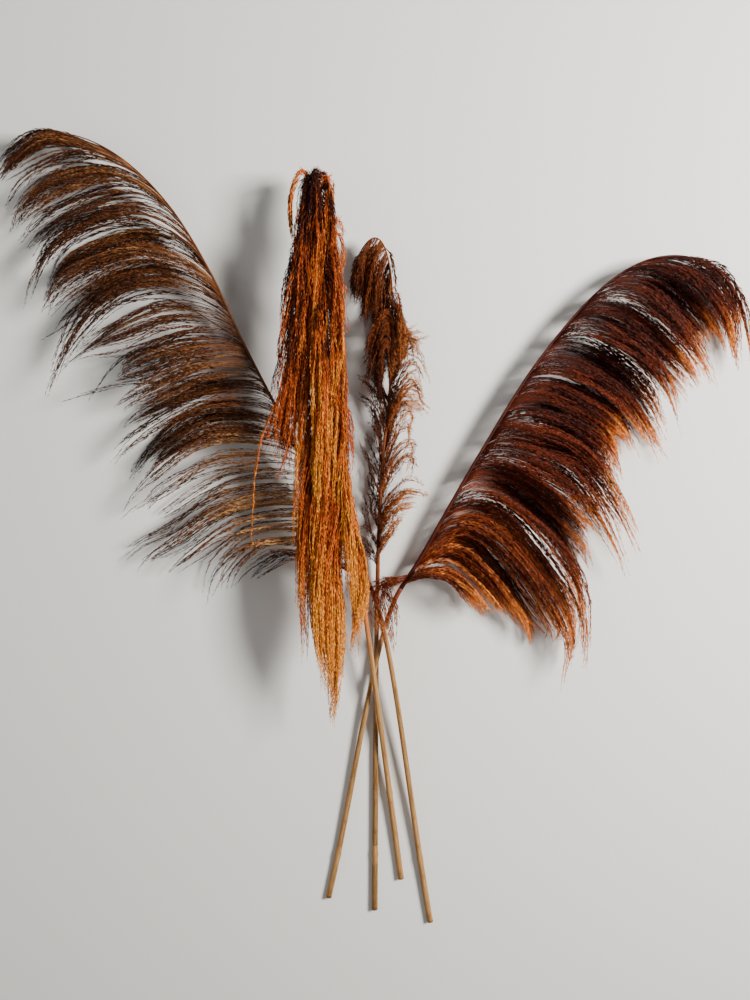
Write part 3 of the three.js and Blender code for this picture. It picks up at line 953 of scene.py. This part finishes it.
def described(strand, knots, along, draws):
    """What the branches of a strand need besides their knots."""
    count = len(along)
    longest = 1 - STRAND_SHORTFALL * draws.random()
    longest = longest * (1 - strand.shortfall * np.abs(in_wisps(draws, count)))
    chance = lerp(in_wisps(draws, count), draws.uniform(-1, 1), STRAND_CHANCE)
    return dict(
        knots=knots,
        along=along,
        stops=longest * (1 - BRANCH_SHORTFALL * draws.random(count) ** SHORTFALL_RARITY),
        lean=np.full((count, 1), strand.lean),
        droop=np.full((count, 1), strand.droop),
        warmth=np.tile(strand.warmth, (count, 1)),
        bundle=np.full(count, strand.bundle),
        phases=in_wisps(draws, count, 2),
        offsets=draws.normal(0, 1, (count, 2)),
        chance=(1 + chance) / 2,
    )


def branch_rows(grass, line, draws):
    rows = []
    for strand in strands_of(grass):
        knots, along = knots_of_strand(grass, strand, line, draws)
        rows.append(described(strand.fall, knots, along, draws))
    for stray in grass.strays:
        rows.append(described(stray, *knots_of_stray(stray, line, draws), draws))
    return rows


def branches_of(grass, line, draws):
    """The fine branches of a plume: their lines, and for each its colour, partly dye and partly
    painted light, and its chance.
    """
    rows = branch_rows(grass, line, draws)
    joined = {key: np.concatenate([row[key] for row in rows]) for key in rows[0]}
    branch = SimpleNamespace(**joined)
    first, last = (branch.knots[:, i + 1] - branch.knots[:, i] for i in (0, 2))
    leaving = turned(first, line.heading(branch.along), branch.lean)
    arriving = turned(last, DOWN_THE_PLUME, branch.droop)
    shares = np.linspace(0, 1, SAMPLES_A_RING * FIBRE_RINGS) * branch.stops[:, None]
    lines = through(branch.knots, shares, leaving[:, None], arriving[:, None])
    branch.lines = gathered(grass, evened(lines, FIBRE_RINGS), branch) - BOX_CENTRE
    branch.lines[..., 2] = np.maximum(branch.lines[..., 2], FLOOR_CLEAR)
    return branch


def gathered(grass, lines, branch):
    """Spreads the branches of a wisp round its middle line and gives them their waves."""
    share = np.linspace(0, 1, FIBRE_RINGS)
    fullness = np.interp(share, *BUNDLE_FULLNESS) * branch.bundle[:, None]
    length = length_of(np.diff(lines, axis=1)).sum(axis=1)
    moved = lines
    for axis, direction in enumerate(cross_frame(headings_of(lines))):
        turns = share * length / grass.wavelength + branch.phases[:, axis, None]
        waves = grass.wave * np.sin(2 * math.pi * turns) * np.sqrt(share)
        spread = branch.offsets[:, axis, None] * fullness
        moved = moved + direction * (spread + waves)[..., None]
    return moved


def nearness_to_foot(along):
    """1 at the foot of the rachis, and 0 from its middle on."""
    return 1 - smooth_step(*FOOT_REACH, along)


def warmth_at(grass, branches, owner, share):
    """How light the colour is at shares of the lengths of branches, partly the dye's own and
    partly painted light and shade.
    """
    # The change from root to tip is partly the dye's own and partly painted light and shade: shade
    # deep inside a plume, sun on its outer tips.
    reach = smooth_step(*grass.paling, share * branches.stops[owner])
    root, tip, foot_root_painted_light, foot_tip_painted_light, top = branches.warmth[owner].T
    along = branches.along[owner]
    foot = nearness_to_foot(along)
    # Painted sunlight: the gains at the foot of the rachis light a plume's lower part.
    warmth = lerp(root + foot_root_painted_light * foot, tip + foot_tip_painted_light * foot, reach)
    # Painted shade: a loss at the top of the rachis darkens a plume's upper part.
    return warmth + top * smooth_step(*TOP_REACH, along)


def spikelets_of(grass, branches, draws):
    """The places, axes and sizes of the spikelets along the outer part of each branch."""
    lines = branches.lines
    count = len(lines)
    length = length_of(np.diff(lines, axis=1)).sum(axis=1)[:, 0]
    bare = draws.uniform(*grass.bare, count)
    bare = bare * (1 - FOOT_FEATHERING * nearness_to_foot(branches.along))
    number = np.maximum(length * (1 - bare) / grass.spacing, 1).astype(int)
    owner = np.repeat(np.arange(count), number)
    order = np.arange(len(owner)) - np.repeat(np.cumsum(number) - number, number)
    share = (order + draws.random(len(owner))) / number[owner]
    share = lerp(bare[owner], 1.0, share)
    place = share * (FIBRE_RINGS - 1)
    ring = np.minimum(place.astype(int), FIBRE_RINGS - 2)
    step = lines[owner, ring + 1] - lines[owner, ring]
    base = lines[owner, ring] + step * (place - ring)[:, None]
    ahead = unit(step)
    aside, upward = cross_frame(ahead)
    turn = order * GOLDEN_TURN + draws.uniform(-TURN_SCATTER, TURN_SCATTER, len(owner))
    outward = aside * np.cos(turn)[:, None] + upward * np.sin(turn)[:, None]
    opening = np.radians(draws.uniform(*grass.opening, len(owner)))[:, None]
    axis = ahead * np.cos(opening) + outward * np.sin(opening)
    size = grass.spikelet * draws.uniform(*SPIKELET_SIZES, len(owner))
    size = size * (1 - SPIKELET_TAPER * share**SPIKELET_TAPER_SHARPNESS)
    low = base[:, 2] + axis[:, 2] * size < FLOOR_CLEAR
    axis[low, 2] = np.abs(axis[low, 2])
    return SimpleNamespace(base=base, axis=unit(axis), size=size, owner=owner, share=share)


def spikelet_points(grass, shape, found, draws):
    """The points of every spikelet, as copies of the unit shape turned about their axes."""
    aside, upward = cross_frame(found.axis)
    turn = draws.uniform(0, 2 * math.pi, len(found.size))[:, None]
    wide = aside * np.cos(turn) + upward * np.sin(turn)
    thick = np.cross(found.axis, wide)
    radius = found.size * draws.uniform(*grass.plump, len(found.size))
    x, y, z = (shape.points[None, :, i, None] for i in range(3))
    across = wide[:, None] * x + thick[:, None] * y
    points = found.base[:, None] + across * radius[:, None, None]
    points = points + found.axis[:, None] * z * found.size[:, None, None]
    points[..., 2] = np.maximum(points[..., 2], 0)
    return points


def finish_plume_piece(thing, grass, material):
    thing.data.materials.append(material)
    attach(thing, "root")
    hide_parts(f"plume_{grass.name}")


def build_rachis(grass, line, material):
    """The plume's axis, with slight swellings, evenly spaced."""
    rachis = ringed_rod(f"rachis_{grass.name}", RACHIS_SIDES, RACHIS_RINGS)
    locks = sum(len(fall.tips) for fall in grass.falls)

    def radius_at(share):
        plain = lerp(RACHIS_BASE_RADIUS, RACHIS_TIP_RADIUS, share**RACHIS_TAPER)
        swell = np.cos(2 * math.pi * share * locks) ** RACHIS_SWELL_SHARPNESS
        return plain * (1 + RACHIS_SWELL * swell)

    bend_piece(rachis, Line(line.knots - BOX_CENTRE), radius_at)
    rachis.data.shade_smooth()
    points = len(rachis.data.vertices)
    marks = dict(warmth=np.full(points, grass.axis_warmth), chance=np.full(points, 0.5))
    add_marks(rachis.data, marks)
    finish_plume_piece(rachis, grass, material)


def build_branches(grass, branches, shape, material):
    lines = branches.lines
    share = np.linspace(0, 1, FIBRE_RINGS)
    radii = np.tile(lerp(FIBRE_ROOT_RADIUS, FIBRE_TIP_RADIUS, share), (len(lines), 1))
    points, ring = bent_fibres(shape, lines, radii)
    owner = np.repeat(np.arange(len(lines)), len(ring))
    # The warmth mark carries painted light and shade as well as the dye's own lightness.
    warmth = warmth_at(grass, branches, owner, np.tile(share[ring], len(lines)))
    marks = dict(warmth=warmth, chance=branches.chance[owner])
    piece = mesh_object(f"branches_{grass.name}", *copies(shape, points), marks)
    piece.data.shade_smooth()
    finish_plume_piece(piece, grass, material)


def build_spikelets(grass, branches, shape, material, draws):
    """The spikelets, parted into pieces from the foot of the rachis to its tip."""
    found = spikelets_of(grass, branches, draws)
    points = spikelet_points(grass, shape, found, draws)
    # The warmth mark carries painted light and shade as well as the dye's own lightness.
    warmth = warmth_at(grass, branches, found.owner, found.share)
    own = draws.random(len(found.size))
    chance = lerp(branches.chance[found.owner], own, SPIKELET_CHANCE)
    each = len(shape.points)
    upwards = np.argsort(branches.along[found.owner], kind="stable")
    pieces = math.ceil(len(upwards) / SPIKELETS_A_PIECE)
    for number, chosen in enumerate(np.array_split(upwards, pieces), start=1):
        marks = dict(
            warmth=np.repeat(warmth[chosen], each), chance=np.repeat(chance[chosen], each)
        )
        name = f"spikelets_{grass.name}_{number}"
        piece = mesh_object(name, *copies(shape, points[chosen]), marks)
        finish_plume_piece(piece, grass, material)


def build_plume(grass, shapes, group):
    draws = np.random.default_rng(grass.seed)
    line = Line(grass.rachis)
    material = plume_material(grass, group)
    branches = branches_of(grass, line, draws)
    build_rachis(grass, line, material)
    build_branches(grass, branches, shapes.fibre, material)
    build_spikelets(grass, branches, shapes.spikelet, material, draws)


# ---- Floor, light and camera -----------------------------


FLOOR_SIZE = 8.0
LIT_PLACE = (0.0, 0.1, 0.0)
AMBIENT = 0.22


def build_floor():
    bpy.ops.mesh.primitive_plane_add(size=FLOOR_SIZE, location=(0, 0, 0))
    floor = bpy.context.object
    floor.name = "floor"
    floor.data.materials.append(floor_material())


def add_area_light(name, place, size, power, colour):
    light = bpy.data.lights.new(name, "AREA")
    light.size = size
    light.energy = power
    light.color = colour
    lamp = bpy.data.objects.new(name, light)
    lamp.location = place
    aim = Vector(LIT_PLACE) - Vector(place)
    lamp.rotation_euler = aim.to_track_quat("-Z", "Y").to_euler()
    bpy.context.collection.objects.link(lamp)


def build_studio():
    add_area_light("key", place=(1.5, 0.6, 1.5), size=0.6, power=128, colour=WARM_WHITE)
    add_area_light("fill", place=(-1.6, 0.4, 1.8), size=1.6, power=10, colour=SOFT_WHITE)
    world = bpy.data.worlds.new("studio")
    world.use_nodes = True
    background = world.node_tree.nodes["Background"]
    background.inputs["Color"].default_value = (*SOFT_WHITE, 1.0)
    background.inputs["Strength"].default_value = AMBIENT
    bpy.context.scene.world = world


def add_camera():
    data = bpy.data.cameras.new("camera")
    data.lens = CAMERA_LENS_MM
    data.sensor_width = CAMERA_SENSOR_MM
    camera = bpy.data.objects.new("camera", data)
    camera.location = CAMERA_PLACE
    camera.rotation_euler = (CAMERA_TILT, 0, 0)
    bpy.context.collection.objects.link(camera)
    bpy.context.scene.camera = camera


def filled_in(grass):
    """A grass with all that its falls and its strays leave out."""
    plain_stray = PLAIN_STRAY | grass["stray"]
    falls = [SimpleNamespace(**(PLAIN_FALL | fall)) for fall in grass["falls"]]
    strays = [SimpleNamespace(**(plain_stray | stray)) for stray in grass["strays"]]
    return SimpleNamespace(**(grass | dict(falls=falls, strays=strays)))


add_camera()
bpy.ops.object.select_all(action="DESELECT")
shapes = SimpleNamespace(fibre=model_fibre(), spikelet=model_spikelet())
plume_dye_and_light_group = dye_and_painted_light_group()
straw_group = culm_group()
for grass in map(filled_in, (LEFT, RIGHT, FRONT, BACK)):
    build_stem(grass, straw_group)
    build_plume(grass, shapes, plume_dye_and_light_group)
build_floor()
build_studio()
